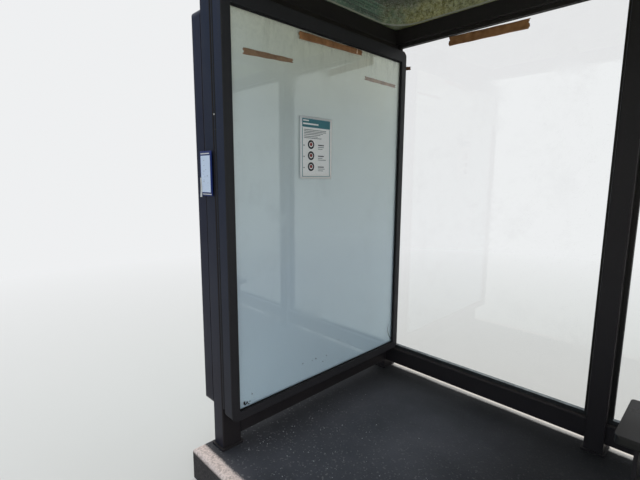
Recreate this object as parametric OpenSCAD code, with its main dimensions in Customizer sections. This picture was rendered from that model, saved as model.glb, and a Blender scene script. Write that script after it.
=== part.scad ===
// Open-fronted street shelter with a two-sided poster case in its left end,
// glazed back and right end, three pillow domes for a roof and a row of seats,
// standing on a precast floor slab. Millimetres, X along the length, Y from the
// open front to the glazed back, Z up from the underside of the slab.

/* [Frame] */
// Length over the outer faces of the end posts
frame_l = 3860; // [3400:10:4600]
// Depth over the front and back faces of the posts
frame_d = 1350; // [1300:10:1700]
// Clear height from the floor to the underside of the roof ring
clear_h = 2089; // [2050:1:2300]
// Width of a post along the length
post_w = 80; // [70:1:100]
// Depth of a post from front to back
post_d = 100; // [90:1:120]
// Width of a roof ring tube
ring_w = 80; // [70:1:90]
// Height of a roof ring tube
ring_h = 82; // [72:1:120]
// Wall of every steel tube
tube_wall = 4; // [3:0.5:6]
// Outer corner radius of every steel tube
tube_r = 6; // [5:0.5:8]
// Width of a crossbar between two domes
cross_w = 40; // [30:1:60]
// Height of a crossbar between two domes
cross_h = 60; // [50:1:80]
// How far a post foot reaches past the sides of the post
foot_side = 10; // [6:1:32]
// How far a post foot reaches past the front and back of the post
foot_front = 10; // [6:1:30]
// Thickness of a post foot
foot_t = 10; // [8:1:14]

/* [Floor slab] */
// Thickness of the precast slab
slab_h = 150; // [120:5:200]
// Slab beyond the end posts
slab_end = 35; // [33:1:60]
// Slab beyond the front and back faces of the posts
slab_front = 97; // [60:1:140]
// Radius of the slab's upper edges
slab_r = 16; // [8:1:30]

/* [Glazed walls] */
// Gap under the bottom rails
rail_gap = 50; // [30:1:80]
// Height of the bottom rails
rail_h = 100; // [80:1:120]
// Thickness of the wall glass
glass_t = 8; // [6:1:10]
// Width of a glazing bead across the wall
bead_w = 24; // [22:1:30]
// Height of a glazing bead
bead_h = 18; // [16:1:24]
// Depth of the groove that takes the glass
groove_depth = 12; // [10:1:13]

/* [Poster case] */
// Room between the case and the back face of the posts
case_back = 80; // [60:1:90]
// Room between the case and the underside of the roof ring
case_under = 61; // [20:1:80]
// Underside of the case above the floor
case_up = 171; // [160:1:200]
// Width of the case's upright stiles up to the poster sheet
case_stile = 50; // [46:1:60]
// Height of the case's bottom rail
case_rail = 50; // [48:1:60]
// Height of the case's top rail
case_head = 69; // [66:1:90]
// Corner radius of the case seen from the side
case_r = 40; // [30:1:46]
// Softening of the door's face edges
door_r = 4; // [2:0.5:6]
// Rounding of the outer half's face edges
outer_r = 20; // [12:1:24]
// Underside of the outer half above the underside of the door
outer_low = 22; // [10:1:24]
// Top of the outer half below the top of the door
outer_high = 40; // [20:1:42]
// Depth of the hinged inner door
door_t = 60; // [50:1:70]
// Depth of the fixed outer half
outer_t = 85; // [75:1:95]
// Depth of the collar that the door shuts against
collar_t = 14; // [12:1:18]
// Gap between the collar and the shut door
door_gap = 10; // [9:1:12]
// Face ring in front of the black seal
lip_t = 9; // [7:1:12]
// Width of the black seal round the poster window
seal_w = 7; // [5:1:9]
// Thickness of the black seal round the poster window
seal_t = 3; // [2:0.5:4]
// Thickness of the poster window
window_t = 5; // [4:1:6]
// Slot between the window and its white backing
poster_slot = 2; // [1:0.5:3]
// Thickness of the white backing
backing_t = 3; // [2:0.5:4]
// Sheet thickness of the lamp box between the posts
sheet_t = 3; // [2:0.5:4]

/* [Door hinge] */
// Radius of the hinge barrel
barrel_r = 6.5; // [6:0.1:7]
// Radius of the hinge pin
pin_r = 3; // [2.5:0.1:3.5]
// Running clearance of the pin in the door's knuckles
pin_play = 0.05; // [0.02:0.01:0.1]
// Gap between neighbouring knuckles
knuckle_gap = 1; // [0.5:0.1:2]
// Number of knuckles in the barrel, an odd number
knuckles = 7; // [5:2:11]
// Thickness of the hinge leaves
leaf_t = 3; // [2.5:0.1:3.2]
// Width of the hinge leaves
leaf_w = 26; // [20:1:30]

/* [Roof domes] */
// Rise of a dome above the roof ring
dome_rise = 200; // [160:5:260]
// Thickness of the dome's translucent shell
dome_t = 4; // [3:0.5:6]
// Radius of the steep skirts where they turn into the top
dome_shoulder = 150; // [120:5:155]
// Corner radius of a dome seen from above
dome_corner = 180; // [120:5:240]
// How much the top of a dome bows up from its shoulders
dome_bow = 45; // [30:5:60]
// Width of the dome's flange on the roof ring
flange_w = 46; // [40:1:60]
// Thickness of the dome's flange
flange_t = 5; // [4:0.5:7]
// Width of the clamping bar on the flange
clamp_w = 30; // [25:1:38]
// Thickness of the clamping bar
clamp_t = 4; // [3:0.5:6]

/* [Bench] */
// Number of seats
seats = 4; // [3:1:5]
// Width of one seat
seat_w = 400; // [360:5:440]
// Depth of a seat
seat_d = 330; // [280:5:380]
// Thickness of a seat
seat_t = 32; // [25:1:40]
// Gap between two seats
seat_gap = 26; // [15:1:40]
// Top of the seats above the floor
seat_up = 440; // [420:5:480]
// Left end of the bench from the post at the left end
bench_from = 1370; // [1300:10:1450]
// Front edge of the seats from the front face of the posts
bench_in = 664; // [600:1:760]
// Side of the square tube that carries the seats
bench_tube = 60; // [50:1:80]
// Thickness of a leg plate
leg_t = 12; // [10:1:16]
// Width of a leg plate
leg_w = 240; // [200:5:280]

/* [Hidden] */
$fn = 64;
tiny = 0.01;
fit = 0.3;
over = 50;
floor_z = slab_h;
ring_z = floor_z + clear_h;
ring_top = ring_z + ring_h;
slab_l = frame_l + 2 * slab_end;
slab_d = frame_d + 2 * slab_front;
end_x = frame_l / 2;
front_y = -frame_d / 2;
back_y = frame_d / 2;
bay_x0 = -end_x + post_w;
wall_y = back_y - ring_w / 2;
rail_z = floor_z + rail_gap;
rail_top = rail_z + rail_h;
case_x = -end_x + post_w;
case_z = floor_z + case_up;
case_w = frame_d - case_back;
case_h = clear_h - case_up - case_under;
case_mid_y = front_y + case_w / 2;
case_top = case_z + case_h;
door_x = case_x + collar_t + door_gap;
bay_h = ring_z - rail_top;
back_bay_w = (frame_l - 4 * post_w) / 3;
back_bay_pitch = back_bay_w + post_w;
end_bay_w = frame_d - 2 * post_d;
sheet_w = case_w - 2 * case_stile;
sheet_h = case_h - case_rail - case_head;
window_lap = 8;
window_w = sheet_w + 2 * (seal_w + window_lap);
window_h = sheet_h + 2 * (seal_w + window_lap);
backing_lap = 8;
backing_w = window_w + 2 * backing_lap;
backing_h = window_h + 2 * backing_lap;
sheet_dz = case_rail + sheet_h / 2 - case_h / 2;
window_back = lip_t + seal_t + window_t;
collar_in = 39;
collar_rim = 34;
dome_ease = 2;
dome_l = (frame_l - 2 * ring_w - 2 * cross_w) / 3;
dome_d = frame_d - 2 * ring_w;
dome_pitch = dome_l + cross_w;
foot_r = 10;
leg_foot_w = 90;
leg_foot_t = 10;
leg_in = 60;
seat_r = 22;
seat_edge = 8;
bench_l = seats * (seat_w + seat_gap) - seat_gap;
bench_x = bay_x0 + bench_from;
bench_y = front_y + bench_in + seat_d / 2;
seat_under = seat_up - seat_t;
barrel_z0 = case_z + case_r + 5;
barrel_z1 = case_top - case_r - 5;
knuckle_h = (barrel_z1 - barrel_z0 + knuckle_gap) / knuckles;
hinge_x = case_x + leaf_t + 0.5 + barrel_r;
hinge_y = front_y + barrel_r;

// A rectangle of size [a, b] about the origin with corners of radius r.
module rounded_rect(a, b, r) {
    square([a - 2 * r, b], center = true);
    square([a, b - 2 * r], center = true);
    for (sx = [-1, 1], sy = [-1, 1])
        translate([sx * (a / 2 - r), sy * (b / 2 - r)])
            circle(r = r);
}

// A rectangle whose two upper corners only are rounded, standing on y = 0.
module arched_rect(a, b, r) {
    translate([-a / 2, 0])
        square([a, b - r]);
    translate([-a / 2 + r, 0])
        square([a - 2 * r, b]);
    for (sx = [-1, 1])
        translate([sx * (a / 2 - r), b - r])
            intersection() {
                circle(r = r);
                translate([-r, 0])
                    square([2 * r, r]);
            }
}

// Section of a rectangular steel tube about the origin.
module tube_section(a, b) {
    difference() {
        rounded_rect(a, b, tube_r);
        rounded_rect(a - 2 * tube_wall, b - 2 * tube_wall, tube_r - tube_wall);
    }
}

// A tube of section a by b that runs along +X from the origin.
module tube_x(a, b, length) {
    rotate([90, 0, 90])
        linear_extrude(length)
            tube_section(a, b);
}

// A tube of section a by b that runs along +Y from the origin.
module tube_y(a, b, length) {
    rotate([-90, 0, 0])
        linear_extrude(length)
            tube_section(a, b);
}

// A plate in the YZ plane, thickness t along +X from the origin.
module side_plate(t, w, h, r) {
    rotate([90, 0, 90])
        linear_extrude(t)
            rounded_rect(w, h, r);
}

module floor_slab() {
    color("dimgray")
        intersection() {
            rotate([90, 0, 90])
                translate([0, 0, -slab_l / 2])
                    linear_extrude(slab_l)
                        arched_rect(slab_d, slab_h, slab_r);
            rotate([90, 0, 0])
                translate([0, 0, -slab_d / 2])
                    linear_extrude(slab_d)
                        arched_rect(slab_l, slab_h, slab_r);
        }
}

// A post with its welded foot, standing on the floor at x, y.
module post(x, y) {
    color("#33373d")
        translate([x, y, floor_z]) {
            linear_extrude(clear_h)
                tube_section(post_w, post_d);
            difference() {
                linear_extrude(foot_t)
                    rounded_rect(post_w + 2 * foot_side, post_d + 2 * foot_front, foot_r);
                translate([0, 0, -tiny])
                    linear_extrude(foot_t + 2 * tiny)
                        rounded_rect(post_w - 2 * tube_wall, post_d - 2 * tube_wall, tube_r - tube_wall);
            }
        }
}

// A roof ring tube along the front or back, mitred at the corners.
module ring_tube_long(side) {
    color("#33373d")
        intersection() {
            translate([-frame_l / 2, side * (frame_d - ring_w) / 2, ring_z + ring_h / 2])
                tube_x(ring_w, ring_h, frame_l);
            translate([0, 0, ring_z - over])
                linear_extrude(ring_h + 2 * over)
                    polygon([
                        [-frame_l / 2, side * frame_d / 2],
                        [frame_l / 2, side * frame_d / 2],
                        [(frame_l - frame_d) / 2, 0],
                        [-(frame_l - frame_d) / 2, 0],
                    ]);
        }
}

// A roof ring tube along an end, mitred at the corners.
module ring_tube_short(side) {
    color("#33373d")
        intersection() {
            translate([side * (frame_l - ring_w) / 2, -frame_d / 2, ring_z + ring_h / 2])
                tube_y(ring_w, ring_h, frame_d);
            translate([0, 0, ring_z - over])
                linear_extrude(ring_h + 2 * over)
                    polygon([
                        [side * frame_l / 2, -frame_d / 2],
                        [side * frame_l / 2, frame_d / 2],
                        [side * (frame_l - frame_d) / 2, 0],
                    ]);
        }
}

// The two crossbars, one under each joint between neighbouring domes.
module roof_crossbar() {
    color("#33373d")
        for (side = [-1, 1])
            translate([side * dome_pitch / 2, -frame_d / 2 + ring_w, ring_top - cross_h / 2])
                tube_y(cross_w, cross_h, frame_d - 2 * ring_w);
}

// Steep skirts and round shoulders over a span, a little wider than the dome's
// outline, so that its upright corners cut the shoulders cleanly.
module dome_section(span, rise, shoulder, width) {
    rotate([90, 0, 0])
        translate([0, 0, -width / 2 - over])
            linear_extrude(width + 2 * over)
                translate([0, -over])
                    arched_rect(span + 2 * dome_ease, over + rise + dome_ease, shoulder);
}

// The blown top, part of a great sphere with its crown at the origin.
module dome_crown(l, d, depth) {
    top_r = (l * l / 4 + dome_bow * dome_bow) / (2 * dome_bow);
    rotate_extrude($fn = 180)
        intersection() {
            translate([0, -top_r])
                circle(r = top_r, $fn = 720);
            translate([0, -depth])
                square([(l + d) / 2, depth + over]);
        }
}

// A pillow on z = 0: a rounded outline, shoulders along both spans, a blown top.
module dome_body(l, d, rise, shoulder, corner) {
    intersection() {
        linear_extrude(rise + over)
            rounded_rect(l, d, corner);
        dome_section(l, rise, shoulder, d);
        rotate([0, 0, 90])
            dome_section(d, rise, shoulder, l);
        translate([0, 0, rise])
            dome_crown(l, d, rise + over);
    }
}

// How far the flange reaches on one side of dome i, counted -1, 0, 1 from the
// left. It is narrower over a crossbar, which two domes share.
function flange_out(i, side) = i == side ? flange_w : cross_w / 2 - 1;

// The clamping bar is narrower there too, and clear of the dome's skirt.
function clamp_out(i, side) = i == side ? clamp_w : cross_w / 2 - 1 - dome_t - fit;

// A pillow dome of even thickness on its flat flange.
module dome(i) {
    color("#9aa07a")
        translate([i * dome_pitch, 0, ring_top])
            difference() {
                union() {
                    dome_body(dome_l + 2 * dome_t, dome_d + 2 * dome_t, dome_rise,
                        dome_shoulder, dome_corner);
                    translate([-dome_l / 2 - flange_out(i, -1), -dome_d / 2 - flange_w, 0])
                        cube([dome_l + flange_out(i, -1) + flange_out(i, 1), dome_d + 2 * flange_w, flange_t]);
                }
                translate([0, 0, -tiny])
                    dome_body(dome_l, dome_d, dome_rise - dome_t + tiny,
                        dome_shoulder - dome_t, dome_corner - dome_t);
            }
}

// A flat bar frame that clamps the flange of dome i.
module dome_clamp(i) {
    inner_l = dome_l + 2 * dome_t + 2 * fit;
    inner_d = dome_d + 2 * dome_t + 2 * fit;
    color("#8d9296")
        translate([i * dome_pitch, 0, ring_top + flange_t])
            difference() {
                translate([-inner_l / 2 - clamp_out(i, -1), -inner_d / 2 - clamp_w, 0])
                    cube([inner_l + clamp_out(i, -1) + clamp_out(i, 1), inner_d + 2 * clamp_w, clamp_t]);
                translate([-inner_l / 2, -inner_d / 2, -tiny])
                    cube([inner_l, inner_d, clamp_t + 2 * tiny]);
            }
}

// A length of glazing bead along +X on z = 0, its groove open upwards.
module bead_bar(length) {
    difference() {
        translate([0, -bead_w / 2, 0])
            cube([length, bead_w, bead_h]);
        translate([-tiny, -glass_t / 2 - fit, bead_h - groove_depth])
            cube([length + 2 * tiny, glass_t + 2 * fit, groove_depth + tiny]);
    }
}

// Four beads round a bay of width w and height h that starts at the origin.
module bay_beads(w, h) {
    upright = h - 2 * bead_h - 2 * fit;
    color("#2a2d31") {
        bead_bar(w);
        translate([0, 0, h])
            mirror([0, 0, 1])
                bead_bar(w);
        translate([0, 0, bead_h + fit])
            mirror([1, 0, 0])
                rotate([0, -90, 0])
                    bead_bar(upright);
        translate([w, 0, bead_h + fit])
            rotate([0, -90, 0])
                bead_bar(upright);
    }
}

// The pane of the same bay, standing in the groove of its bottom bead.
module bay_glass(w, h) {
    edge = bead_h - groove_depth + fit;
    color("#a9c4bd", 0.4)
        translate([edge, -glass_t / 2, edge])
            cube([w - 2 * edge, glass_t, h - 2 * edge]);
}

// Moves a bay of the back wall into place, i counted -1, 0, 1 from the left.
module at_back_bay(i) {
    translate([i * back_bay_pitch - back_bay_w / 2, wall_y, rail_top])
        children();
}

// Moves a bay of an end wall into place, side -1 left and 1 right.
module at_end_bay(side) {
    translate([side * (end_x - post_w / 2), front_y + post_d, rail_top])
        rotate([0, 0, 90])
            children();
}

// The posts on both sides of the middle bay of the back wall.
module post_back_middle() {
    for (side = [-1, 1])
        post(side * back_bay_pitch / 2, back_y - post_d / 2);
}

module wall_rail(length, depth) {
    color("#33373d")
        translate([0, 0, -rail_h / 2])
            tube_x(depth, rail_h, length);
}

// A sheet-metal box on the left end rail between the posts, open to both sides:
// a middle sheet, and closed channels under and over it up to the roof ring.
module lamp_box() {
    box_d = frame_d - 2 * post_d;
    box_h = ring_z - rail_top;
    room_z = case_z + outer_low + 2 * sheet_t - rail_top;
    room_h = case_h - outer_low - outer_high - 4 * sheet_t;
    over_z = room_z + room_h + sheet_t;
    pocket = (post_w - sheet_t) / 2;
    color("#2d3034")
        translate([-end_x, -box_d / 2, rail_top])
            difference() {
                cube([post_w, box_d, box_h]);
                for (x = [-tiny, post_w - pocket])
                    translate([x, sheet_t, room_z])
                        cube([pocket + tiny, box_d - 2 * sheet_t, room_h]);
                translate([sheet_t, -tiny, sheet_t])
                    cube([post_w - 2 * sheet_t, box_d + 2 * tiny, room_z - 2 * sheet_t]);
                translate([sheet_t, -tiny, over_z])
                    cube([post_w - 2 * sheet_t, box_d + 2 * tiny, box_h - over_z - sheet_t]);
            }
}

// The fixed collar on the inner side, set back at the front for the hinge.
module case_collar() {
    color("#2d3034")
        translate([case_x, case_mid_y, case_z + case_h / 2])
            difference() {
                translate([0, collar_in / 2, 0])
                    side_plate(collar_t, case_w - collar_in, case_h, case_r);
                translate([-tiny, collar_in / 2, 0])
                    side_plate(collar_t + 2 * tiny, case_w - collar_in - 2 * collar_rim,
                        case_h - 2 * collar_rim, case_r / 2);
            }
}

module at_door() {
    translate([door_x, case_mid_y, case_z + case_h / 2])
        children();
}

module at_outer() {
    translate([-end_x, case_mid_y, case_z + case_h / 2])
        mirror([1, 0, 0])
            children();
}

// Section of a case half across its face, both face edges rounded to r.
module face_section(w, depth, r) {
    rotate(-90)
        arched_rect(w, depth, r);
}

// A case half: rounded corners seen from the side, face edges rounded to r, a
// window opening with a ledge for the seal and pane and a deeper ledge for the
// backing. It stops short of the case's outline by low and high.
module case_frame(depth, r, low, high) {
    h = case_h - low - high;
    color("#33373d")
        difference() {
            translate([0, 0, (low - high) / 2])
                intersection() {
                    side_plate(depth, case_w, h, case_r);
                    translate([0, 0, -h / 2])
                        linear_extrude(h)
                            face_section(case_w, depth, r);
                    rotate([90, 0, 0])
                        translate([0, 0, -case_w / 2])
                            linear_extrude(case_w)
                                face_section(h, depth, r);
                }
            translate([depth - lip_t - tiny, 0, sheet_dz])
                side_plate(lip_t + 2 * tiny, sheet_w + 2 * seal_w, sheet_h + 2 * seal_w, seal_w);
            translate([depth - window_back - poster_slot, 0, sheet_dz])
                side_plate(window_back - lip_t + poster_slot, window_w + 2 * fit, window_h + 2 * fit, seal_w);
            translate([-tiny, 0, sheet_dz])
                side_plate(depth - window_back - poster_slot + 2 * tiny,
                    backing_w + 2 * fit, backing_h + 2 * fit, seal_w);
        }
}

module case_seal(depth) {
    color("#111214")
        translate([depth - lip_t - seal_t, 0, sheet_dz])
            difference() {
                side_plate(seal_t, window_w, window_h, seal_w);
                translate([-tiny, 0, 0])
                    side_plate(seal_t + 2 * tiny, sheet_w, sheet_h, tiny + fit);
            }
}

module case_window(depth) {
    color("#c9d6d6", 0.35)
        translate([depth - window_back, 0, sheet_dz])
            side_plate(window_t, window_w, window_h, seal_w);
}

module case_backing(depth) {
    color("#9fabb0")
        translate([depth - window_back - poster_slot - backing_t, 0, sheet_dz])
            side_plate(backing_t, backing_w, backing_h, seal_w);
}

// Every second knuckle of the barrel from the one numbered first.
module knuckle_row(first) {
    for (i = [first:2:knuckles - 1])
        translate([hinge_x, hinge_y, barrel_z0 + i * knuckle_h])
            children();
}

module knuckle_bore() {
    translate([hinge_x, hinge_y, barrel_z0 - tiny])
        cylinder(r = pin_r + pin_play, h = barrel_z1 - barrel_z0 + 2 * tiny);
}

module hinge_fixed_leaf() {
    tall = knuckle_h - knuckle_gap;
    color("#3a3e44")
        difference() {
            union() {
                knuckle_row(0)
                    cylinder(r = barrel_r, h = tall);
                knuckle_row(0)
                    translate([case_x - hinge_x, barrel_r - leaf_t, 0])
                        cube([hinge_x - case_x, leaf_t, tall]);
                translate([case_x, hinge_y + barrel_r - leaf_t, barrel_z0])
                    cube([leaf_t, leaf_w, barrel_z1 - barrel_z0]);
            }
            knuckle_bore();
        }
}

module door_hinge_leaf() {
    tall = knuckle_h - knuckle_gap;
    color("#3a3e44")
        difference() {
            union() {
                knuckle_row(1)
                    cylinder(r = barrel_r, h = tall);
                knuckle_row(1)
                    translate([0, barrel_r - leaf_t, 0])
                        cube([door_x - hinge_x, leaf_t, tall]);
                translate([door_x - leaf_t, hinge_y + barrel_r - leaf_t, barrel_z0])
                    cube([leaf_t, leaf_w, barrel_z1 - barrel_z0]);
            }
            knuckle_bore();
        }
}

module hinge_pin() {
    color("silver")
        translate([hinge_x, hinge_y, barrel_z0])
            cylinder(r = pin_r, h = barrel_z1 - barrel_z0);
}

// The square tube that runs through both legs and carries the seats.
module bench_tube_rail() {
    color("#33373d")
        translate([bench_x + seat_gap, bench_y, floor_z + seat_under - bench_tube / 2])
            tube_x(bench_tube, bench_tube, bench_l - 2 * seat_gap);
}

// A leg plate with a welded foot and a square window for the tube.
module bench_leg(side) {
    x = side < 0 ? bench_x + leg_in : bench_x + bench_l - leg_in;
    hole = bench_tube + 2 * fit;
    color("#33373d")
        translate([x, bench_y, floor_z])
            difference() {
                union() {
                    translate([-leg_t / 2, -leg_w / 2, 0])
                        cube([leg_t, leg_w, seat_under - fit]);
                    linear_extrude(leg_foot_t)
                        rounded_rect(leg_foot_w, leg_w, foot_r);
                }
                translate([-leg_t, -hole / 2, seat_under - bench_tube - fit])
                    cube([2 * leg_t, hole, bench_tube + 2 * fit]);
            }
}

// One seat: a plate with rounded corners and softened front and back edges.
module seat() {
    intersection() {
        linear_extrude(seat_t)
            rounded_rect(seat_w, seat_d, seat_r);
        translate([-seat_w / 2, 0, seat_t / 2])
            side_plate(seat_w, seat_d, seat_t, seat_edge);
    }
}

module bench_seats() {
    color("#3b4045")
        for (i = [0:seats - 1])
            translate([bench_x + seat_w / 2 + i * (seat_w + seat_gap), bench_y, floor_z + seat_under])
                seat();
}

floor_slab();
post(-end_x + post_w / 2, front_y + post_d / 2);  // post_front_left
post(end_x - post_w / 2, front_y + post_d / 2);  // post_front_right
post(-end_x + post_w / 2, back_y - post_d / 2);  // post_back_left
post_back_middle();
post(end_x - post_w / 2, back_y - post_d / 2);  // post_back_right
ring_tube_long(-1);  // ring_tube_front
ring_tube_long(1);  // ring_tube_back
ring_tube_short(-1);  // ring_tube_left
ring_tube_short(1);  // ring_tube_right
roof_crossbar();
dome(-1);  // dome_left
dome(0);  // dome_middle
dome(1);  // dome_right
dome_clamp(-1);  // dome_clamp_left
dome_clamp(0);  // dome_clamp_middle
dome_clamp(1);  // dome_clamp_right
at_back_bay(-1) wall_rail(back_bay_w, ring_w);  // back_rail_left
at_back_bay(0) wall_rail(back_bay_w, ring_w);  // back_rail_middle
at_back_bay(1) wall_rail(back_bay_w, ring_w);  // back_rail_right
at_end_bay(-1) wall_rail(end_bay_w, post_w);  // end_rail_left
at_end_bay(1) wall_rail(end_bay_w, post_w);  // end_rail_right
at_back_bay(-1) bay_glass(back_bay_w, bay_h);  // back_glass_left
at_back_bay(0) bay_glass(back_bay_w, bay_h);  // back_glass_middle
at_back_bay(1) bay_glass(back_bay_w, bay_h);  // back_glass_right
at_end_bay(1) bay_glass(end_bay_w, bay_h);  // end_glass_right
at_back_bay(-1) bay_beads(back_bay_w, bay_h);  // back_beads_left
at_back_bay(0) bay_beads(back_bay_w, bay_h);  // back_beads_middle
at_back_bay(1) bay_beads(back_bay_w, bay_h);  // back_beads_right
at_end_bay(1) bay_beads(end_bay_w, bay_h);  // end_beads_right
lamp_box();
case_collar();
hinge_fixed_leaf();
hinge_pin();
at_door() case_frame(door_t, door_r, 0, 0);  // door_frame
door_hinge_leaf();
at_door() case_seal(door_t);  // door_seal
at_door() case_window(door_t);  // door_window
at_door() case_backing(door_t);  // door_backing
at_outer() case_frame(outer_t, outer_r, outer_low, outer_high);  // outer_frame
at_outer() case_seal(outer_t);  // outer_seal
at_outer() case_window(outer_t);  // outer_window
at_outer() case_backing(outer_t);  // outer_backing
bench_tube_rail();
bench_leg(-1);  // bench_leg_left
bench_leg(1);  // bench_leg_right
bench_seats();
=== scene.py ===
import math

import bpy
import numpy as np
from mathutils import Matrix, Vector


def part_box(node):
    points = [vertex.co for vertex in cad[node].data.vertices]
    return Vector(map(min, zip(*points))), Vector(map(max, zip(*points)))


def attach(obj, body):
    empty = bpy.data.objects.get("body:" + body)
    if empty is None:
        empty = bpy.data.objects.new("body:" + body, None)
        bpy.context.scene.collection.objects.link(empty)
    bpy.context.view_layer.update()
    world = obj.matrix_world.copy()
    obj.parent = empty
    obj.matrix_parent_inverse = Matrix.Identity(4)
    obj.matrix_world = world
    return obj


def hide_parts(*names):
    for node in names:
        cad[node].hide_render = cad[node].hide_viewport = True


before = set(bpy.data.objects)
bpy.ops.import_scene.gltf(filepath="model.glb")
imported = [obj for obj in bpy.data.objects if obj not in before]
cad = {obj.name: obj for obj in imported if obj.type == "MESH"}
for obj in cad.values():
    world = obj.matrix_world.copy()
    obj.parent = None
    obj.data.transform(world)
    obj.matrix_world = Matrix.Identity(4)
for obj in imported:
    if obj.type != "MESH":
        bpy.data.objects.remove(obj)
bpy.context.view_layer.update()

# Camera: it stands just outside the open front, at chin height over the ground,
# turned halfway to the left end, and looks a little down.
eye = (-0.271, -1.588, 1.428)
turned_left, looking_down, leaning = math.radians(45.64), math.radians(8.57), math.radians(0.32)
lens_mm, sensor_mm = 23.01, 36.0
nearest, farthest = 0.02, 200.0
camera_data = bpy.data.cameras.new("eye")
camera_data.lens, camera_data.sensor_width = lens_mm, sensor_mm
camera_data.clip_start, camera_data.clip_end = nearest, farthest
camera = bpy.data.objects.new("eye", camera_data)
bpy.context.scene.collection.objects.link(camera)
camera.matrix_world = (
    Matrix.Translation(eye)
    @ Matrix.Rotation(turned_left, 4, "Z")
    @ Matrix.Rotation(math.pi / 2 - looking_down, 4, "X")
    @ Matrix.Rotation(leaning, 4, "Z")
)
bpy.context.scene.camera = camera
bpy.context.scene.view_settings.view_transform = "Standard"


# Ground and daylight: plain pale ground that fades into a bright sky, dimmer and
# bluer towards the front. One soft lamp shines from high over the left end, so that
# the roof keeps the floor in shade and both long edges of the slab stay bright.
def linear(red, green, blue):
    """A screen colour, 0 to 255 a channel, as the linear colour that a shader takes: each channel's share of
    255 to the power 2.2."""
    return tuple((np.array((red, green, blue)) / 255.0) ** 2.2) + (1.0,)


def wire(tree, kind, sockets=(), **settings):
    """A node of that kind with its settings, each named socket set to a value or joined to another node's
    output."""
    made = tree.nodes.new(kind)
    for name, value in settings.items():
        setattr(made, name, value)
    for key, value in dict(sockets).items():
        if isinstance(value, bpy.types.NodeSocket):
            tree.links.new(value, made.inputs[key])
        else:
            made.inputs[key].default_value = value
    return made


def give(shader, **values):
    """Joins worked-out values to those sockets of a shader."""
    for key, value in values.items():
        shader.id_data.links.new(value, shader.inputs[key.replace("_", " ")])


def surface_of(name, **sockets):
    """A new finish: its material, its node tree and its shader with those sockets set."""
    made = bpy.data.materials.new(name)
    made.use_nodes = True
    shader = made.node_tree.nodes["Principled BSDF"]
    for key, value in sockets.items():
        shader.inputs[key.replace("_", " ")].default_value = value
    return made, made.node_tree, shader


def maths(tree, how, a, b=0.0):
    """One sum on two numbers."""
    return wire(tree, "ShaderNodeMath", {0: a, 1: b}, operation=how, use_clamp=False).outputs[0]


def between(tree, value, low, high, a=0.0, b=1.0):
    """A value that goes from a to b while the input goes from low to high, and stays there outside."""
    return wire(tree, "ShaderNodeMapRange", {0: value, 1: low, 2: high, 3: a, 4: b}).outputs[0]


def mixed(tree, share, first, second, how="MIX"):
    """The first colour, with the second one over it by that share."""
    sockets = {0: share, 6: first, 7: second}
    return wire(tree, "ShaderNodeMix", sockets, data_type="RGBA", blend_type=how).outputs[2]


def seen_share(tree):
    """1 for rays that come from the picture, straight, by a mirror or through a pane, and 0 for light that
    falls on things."""
    path = wire(tree, "ShaderNodeLightPath").outputs
    by_detour = maths(tree, "MAXIMUM", path["Is Glossy Ray"], path["Is Transmission Ray"])
    return maths(tree, "MAXIMUM", path["Is Camera Ray"], by_detour)


def new_piece(name, points, faces):
    """An object at the origin from an array of points, shape (..., 3), and faces that count through them."""
    made = bpy.data.meshes.new(name)
    made.from_pydata(points.reshape(-1, 3).tolist(), [], faces)
    made.update()
    piece = bpy.data.objects.new(name, made)
    bpy.context.scene.collection.objects.link(piece)
    return piece


def open_sheets(name, grids):
    """One mesh of like sheets, grids of points P(u, v) of shape (count, nu, nv, 3). Each four neighbours
    P(u, v), P(u+1, v), P(u+1, v+1), P(u, v+1) make one face."""
    count, nu, nv = grids.shape[:3]
    u, v = np.arange(nu - 1)[:, None], np.arange(nv - 1)[None, :]
    faces = np.stack([u * nv + v, (u + 1) * nv + v, (u + 1) * nv + v + 1, u * nv + v + 1], -1).reshape(-1, 4)
    first = (np.arange(count) * nu * nv)[:, None, None]
    return new_piece(name, grids, (faces + first).reshape(-1, 4).tolist())


backdrop = (0.86, 0.87, 0.88, 1.0)
ground_reach, ground_depth = 60.0, 0.0005
fade_near, fade_far = 2.6, 7.5
span = np.linspace(-ground_reach, ground_reach, 9)
u, v = np.meshgrid(span, span, indexing="ij")
ground = open_sheets("ground", np.stack([u, v, 0 * u - ground_depth], -1)[None])
ground_finish, tree, shader = surface_of("pale_ground", Base_Color=linear(212, 209, 203), Roughness=0.9)
where = wire(tree, "ShaderNodeTexCoord").outputs["Object"]
away = wire(tree, "ShaderNodeVectorMath", {0: where}, operation="LENGTH").outputs["Value"]
far = maths(tree, "MULTIPLY", between(tree, away, fade_near, fade_far), seen_share(tree))
glow = wire(tree, "ShaderNodeEmission", {"Color": backdrop, "Strength": 1.0})
fade = wire(tree, "ShaderNodeMixShader", {0: far, 1: shader.outputs[0], 2: glow.outputs[0]})
tree.links.new(fade.outputs[0], tree.nodes["Material Output"].inputs["Surface"])
ground.data.materials.append(ground_finish)

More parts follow.
